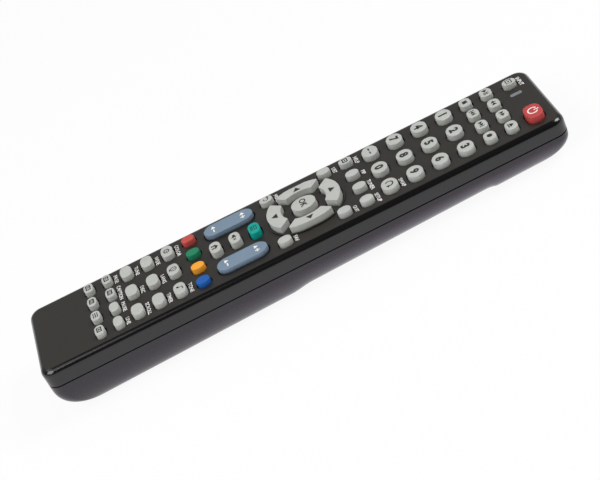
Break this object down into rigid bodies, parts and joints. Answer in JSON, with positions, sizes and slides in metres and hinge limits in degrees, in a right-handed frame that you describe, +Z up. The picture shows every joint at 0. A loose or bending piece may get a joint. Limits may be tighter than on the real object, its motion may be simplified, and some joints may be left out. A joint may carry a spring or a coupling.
{
  "type": "remote control",
  "caption": "Long wedge-shaped universal remote control with rows of rubber keys, a direction pad, two rockers and a swing-out battery door.",
  "frame": {"origin": "centre of the bounding box on the resting plane under the case", "axes": "+Z up out of the keys, +Y along the case towards its front end with the emitter, +X to the right"},
  "size_m": [0.0476, 0.2352, 0.0283],
  "materials": {
    "satin_charcoal": "satin",
    "charcoal": "semi-gloss",
    "sheet_rubber": "matte",
    "grey_rubber": "matte",
    "red_rubber": "matte",
    "green_rubber": "matte",
    "orange_rubber": "matte",
    "blue_rubber": "matte",
    "teal_rubber": "matte",
    "slate_rubber": "matte",
    "board": "satin",
    "chip": "matte",
    "emitter_resin": "clear",
    "lens": "translucent",
    "light_body": "translucent",
    "cell_can": "printed sleeve",
    "spring_steel": "plated",
    "screw_steel": "plain"
  },
  "bodies": {
    "case": {"top_case": "satin_charcoal", "bottom_case": "charcoal", "keypad_sheet": "sheet_rubber", "circuit_board": "board", "control_chip": "chip", "emitter": "emitter_resin", "indicator_lens": "lens", "indicator_light": "light_body", "battery_cells": "cell_can", "battery_springs": "spring_steel", "battery_contacts": "spring_steel", "case_screws": "screw_steel"},
    "door": {"battery_door": "charcoal"},
    "key_enter": {"key_enter": "grey_rubber"},
    "key_up": {"key_up": "grey_rubber"},
    "key_left": {"key_left": "grey_rubber"},
    "key_down": {"key_down": "grey_rubber"},
    "key_right": {"key_right": "grey_rubber"},
    "rocker_left": {"rocker_left": "slate_rubber"},
    "rocker_right": {"rocker_right": "slate_rubber"},
    "key_input": {"key_input": "grey_rubber"},
    "key_power": {"key_power": "red_rubber"},
    "keys_play": {"keys_play": "grey_rubber"},
    "keys_skip": {"keys_skip": "grey_rubber"},
    "key_1": {"key_1": "grey_rubber"},
    "key_2": {"key_2": "grey_rubber"},
    "key_3": {"key_3": "grey_rubber"},
    "key_4": {"key_4": "grey_rubber"},
    "key_5": {"key_5": "grey_rubber"},
    "key_6": {"key_6": "grey_rubber"},
    "key_7": {"key_7": "grey_rubber"},
    "key_8": {"key_8": "grey_rubber"},
    "key_9": {"key_9": "grey_rubber"},
    "key_dash": {"key_dash": "grey_rubber"},
    "key_0": {"key_0": "grey_rubber"},
    "key_recall": {"key_recall": "grey_rubber"},
    "keys_info": {"keys_info": "grey_rubber"},
    "key_menu": {"key_menu": "grey_rubber"},
    "key_exit": {"key_exit": "grey_rubber"},
    "key_back": {"key_back": "grey_rubber"},
    "key_guide": {"key_guide": "grey_rubber"},
    "key_teal": {"key_teal": "teal_rubber"},
    "key_mute": {"key_mute": "grey_rubber"},
    "key_home": {"key_home": "grey_rubber"},
    "key_red": {"key_red": "red_rubber"},
    "key_green": {"key_green": "green_rubber"},
    "key_orange": {"key_orange": "orange_rubber"},
    "key_blue": {"key_blue": "blue_rubber"},
    "key_picture": {"key_picture": "grey_rubber"},
    "key_light": {"key_light": "grey_rubber"},
    "key_sound": {"key_sound": "grey_rubber"},
    "key_zoom": {"key_zoom": "grey_rubber"},
    "key_track": {"key_track": "grey_rubber"},
    "key_timer": {"key_timer": "grey_rubber"},
    "key_auto": {"key_auto": "grey_rubber"},
    "key_media": {"key_media": "grey_rubber"},
    "key_page": {"key_page": "grey_rubber"},
    "keys_text_front": {"keys_text_front": "grey_rubber"},
    "keys_text_back": {"keys_text_back": "grey_rubber"}
  },
  "joints": [
    {"name": "door_swing", "type": "hinge", "parent": "case", "child": "door", "pos_m": [0, -0.0897, 0.0012], "axis": [-1, 0, 0], "range_deg": [0, 90]},
    {"name": "key_enter_press", "type": "slide", "parent": "case", "child": "key_enter", "axis": [0, -0.0356, -0.9994], "range_m": [0, 0.0008], "stiffness_N_per_m": 500},
    {"name": "key_up_press", "type": "slide", "parent": "case", "child": "key_up", "axis": [0, -0.0356, -0.9994], "range_m": [0, 0.0008], "stiffness_N_per_m": 500},
    {"name": "key_left_press", "type": "slide", "parent": "case", "child": "key_left", "axis": [0, -0.0356, -0.9994], "range_m": [0, 0.0008], "stiffness_N_per_m": 500},
    {"name": "key_down_press", "type": "slide", "parent": "case", "child": "key_down", "axis": [0, -0.0356, -0.9994], "range_m": [0, 0.0008], "stiffness_N_per_m": 500},
    {"name": "key_right_press", "type": "slide", "parent": "case", "child": "key_right", "axis": [0, -0.0356, -0.9994], "range_m": [0, 0.0008], "stiffness_N_per_m": 500},
    {"name": "rocker_left_tilt", "type": "hinge", "parent": "case", "child": "rocker_left", "pos_m": [-0.01335, -0.02351, 0.02103], "axis": [1, 0, 0], "range_deg": [-3.5, 3.5], "stiffness_Nm_per_rad": 0.1},
    {"name": "rocker_right_tilt", "type": "hinge", "parent": "case", "child": "rocker_right", "pos_m": [0.01335, -0.02351, 0.02103], "axis": [1, 0, 0], "range_deg": [-3.5, 3.5], "stiffness_Nm_per_rad": 0.1},
    {"name": "key_input_press", "type": "slide", "parent": "case", "child": "key_input", "axis": [0, -0.0356, -0.9994], "range_m": [0, 0.0008], "stiffness_N_per_m": 500},
    {"name": "key_power_press", "type": "slide", "parent": "case", "child": "key_power", "axis": [0, -0.0356, -0.9994], "range_m": [0, 0.0008], "stiffness_N_per_m": 500},
    {"name": "keys_play_press", "type": "slide", "parent": "case", "child": "keys_play", "axis": [0, -0.0356, -0.9994], "range_m": [0, 0.0008], "stiffness_N_per_m": 500},
    {"name": "keys_skip_press", "type": "slide", "parent": "case", "child": "keys_skip", "axis": [0, -0.0356, -0.9994], "range_m": [0, 0.0008], "stiffness_N_per_m": 500},
    {"name": "key_1_press", "type": "slide", "parent": "case", "child": "key_1", "axis": [0, -0.0356, -0.9994], "range_m": [0, 0.0008], "stiffness_N_per_m": 500},
    {"name": "key_2_press", "type": "slide", "parent": "case", "child": "key_2", "axis": [0, -0.0356, -0.9994], "range_m": [0, 0.0008], "stiffness_N_per_m": 500},
    {"name": "key_3_press", "type": "slide", "parent": "case", "child": "key_3", "axis": [0, -0.0356, -0.9994], "range_m": [0, 0.0008], "stiffness_N_per_m": 500},
    {"name": "key_4_press", "type": "slide", "parent": "case", "child": "key_4", "axis": [0, -0.0356, -0.9994], "range_m": [0, 0.0008], "stiffness_N_per_m": 500},
    {"name": "key_5_press", "type": "slide", "parent": "case", "child": "key_5", "axis": [0, -0.0356, -0.9994], "range_m": [0, 0.0008], "stiffness_N_per_m": 500},
    {"name": "key_6_press", "type": "slide", "parent": "case", "child": "key_6", "axis": [0, -0.0356, -0.9994], "range_m": [0, 0.0008], "stiffness_N_per_m": 500},
    {"name": "key_7_press", "type": "slide", "parent": "case", "child": "key_7", "axis": [0, -0.0356, -0.9994], "range_m": [0, 0.0008], "stiffness_N_per_m": 500},
    {"name": "key_8_press", "type": "slide", "parent": "case", "child": "key_8", "axis": [0, -0.0356, -0.9994], "range_m": [0, 0.0008], "stiffness_N_per_m": 500},
    {"name": "key_9_press", "type": "slide", "parent": "case", "child": "key_9", "axis": [0, -0.0356, -0.9994], "range_m": [0, 0.0008], "stiffness_N_per_m": 500},
    {"name": "key_dash_press", "type": "slide", "parent": "case", "child": "key_dash", "axis": [0, -0.0356, -0.9994], "range_m": [0, 0.0008], "stiffness_N_per_m": 500},
    {"name": "key_0_press", "type": "slide", "parent": "case", "child": "key_0", "axis": [0, -0.0356, -0.9994], "range_m": [0, 0.0008], "stiffness_N_per_m": 500},
    {"name": "key_recall_press", "type": "slide", "parent": "case", "child": "key_recall", "axis": [0, -0.0356, -0.9994], "range_m": [0, 0.0008], "stiffness_N_per_m": 500},
    {"name": "keys_info_press", "type": "slide", "parent": "case", "child": "keys_info", "axis": [0, -0.0356, -0.9994], "range_m": [0, 0.0008], "stiffness_N_per_m": 500},
    {"name": "key_menu_press", "type": "slide", "parent": "case", "child": "key_menu", "axis": [0, -0.0356, -0.9994], "range_m": [0, 0.0008], "stiffness_N_per_m": 500},
    {"name": "key_exit_press", "type": "slide", "parent": "case", "child": "key_exit", "axis": [0, -0.0356, -0.9994], "range_m": [0, 0.0008], "stiffness_N_per_m": 500},
    {"name": "key_back_press", "type": "slide", "parent": "case", "child": "key_back", "axis": [0, -0.0356, -0.9994], "range_m": [0, 0.0008], "stiffness_N_per_m": 500},
    {"name": "key_guide_press", "type": "slide", "parent": "case", "child": "key_guide", "axis": [0, -0.0356, -0.9994], "range_m": [0, 0.0008], "stiffness_N_per_m": 500},
    {"name": "key_teal_press", "type": "slide", "parent": "case", "child": "key_teal", "axis": [0, -0.0356, -0.9994], "range_m": [0, 0.0008], "stiffness_N_per_m": 500},
    {"name": "key_mute_press", "type": "slide", "parent": "case", "child": "key_mute", "axis": [0, -0.0356, -0.9994], "range_m": [0, 0.0008], "stiffness_N_per_m": 500},
    {"name": "key_home_press", "type": "slide", "parent": "case", "child": "key_home", "axis": [0, -0.0356, -0.9994], "range_m": [0, 0.0008], "stiffness_N_per_m": 500},
    {"name": "key_red_press", "type": "slide", "parent": "case", "child": "key_red", "axis": [0, -0.0356, -0.9994], "range_m": [0, 0.0008], "stiffness_N_per_m": 500},
    {"name": "key_green_press", "type": "slide", "parent": "case", "child": "key_green", "axis": [0, -0.0356, -0.9994], "range_m": [0, 0.0008], "stiffness_N_per_m": 500},
    {"name": "key_orange_press", "type": "slide", "parent": "case", "child": "key_orange", "axis": [0, -0.0356, -0.9994], "range_m": [0, 0.0008], "stiffness_N_per_m": 500},
    {"name": "key_blue_press", "type": "slide", "parent": "case", "child": "key_blue", "axis": [0, -0.0356, -0.9994], "range_m": [0, 0.0008], "stiffness_N_per_m": 500},
    {"name": "key_picture_press", "type": "slide", "parent": "case", "child": "key_picture", "axis": [0, -0.0356, -0.9994], "range_m": [0, 0.0008], "stiffness_N_per_m": 500},
    {"name": "key_light_press", "type": "slide", "parent": "case", "child": "key_light", "axis": [0, -0.0356, -0.9994], "range_m": [0, 0.0008], "stiffness_N_per_m": 500},
    {"name": "key_sound_press", "type": "slide", "parent": "case", "child": "key_sound", "axis": [0, -0.0356, -0.9994], "range_m": [0, 0.0008], "stiffness_N_per_m": 500},
    {"name": "key_zoom_press", "type": "slide", "parent": "case", "child": "key_zoom", "axis": [0, -0.0356, -0.9994], "range_m": [0, 0.0008], "stiffness_N_per_m": 500},
    {"name": "key_track_press", "type": "slide", "parent": "case", "child": "key_track", "axis": [0, -0.0356, -0.9994], "range_m": [0, 0.0008], "stiffness_N_per_m": 500},
    {"name": "key_timer_press", "type": "slide", "parent": "case", "child": "key_timer", "axis": [0, -0.0356, -0.9994], "range_m": [0, 0.0008], "stiffness_N_per_m": 500},
    {"name": "key_auto_press", "type": "slide", "parent": "case", "child": "key_auto", "axis": [0, -0.0356, -0.9994], "range_m": [0, 0.0008], "stiffness_N_per_m": 500},
    {"name": "key_media_press", "type": "slide", "parent": "case", "child": "key_media", "axis": [0, -0.0356, -0.9994], "range_m": [0, 0.0008], "stiffness_N_per_m": 500},
    {"name": "key_page_press", "type": "slide", "parent": "case", "child": "key_page", "axis": [0, -0.0356, -0.9994], "range_m": [0, 0.0008], "stiffness_N_per_m": 500},
    {"name": "keys_text_front_press", "type": "slide", "parent": "case", "child": "keys_text_front", "axis": [0, -0.0356, -0.9994], "range_m": [0, 0.0008], "stiffness_N_per_m": 500},
    {"name": "keys_text_back_press", "type": "slide", "parent": "case", "child": "keys_text_back", "axis": [0, -0.0356, -0.9994], "range_m": [0, 0.0008], "stiffness_N_per_m": 500}
  ]
}
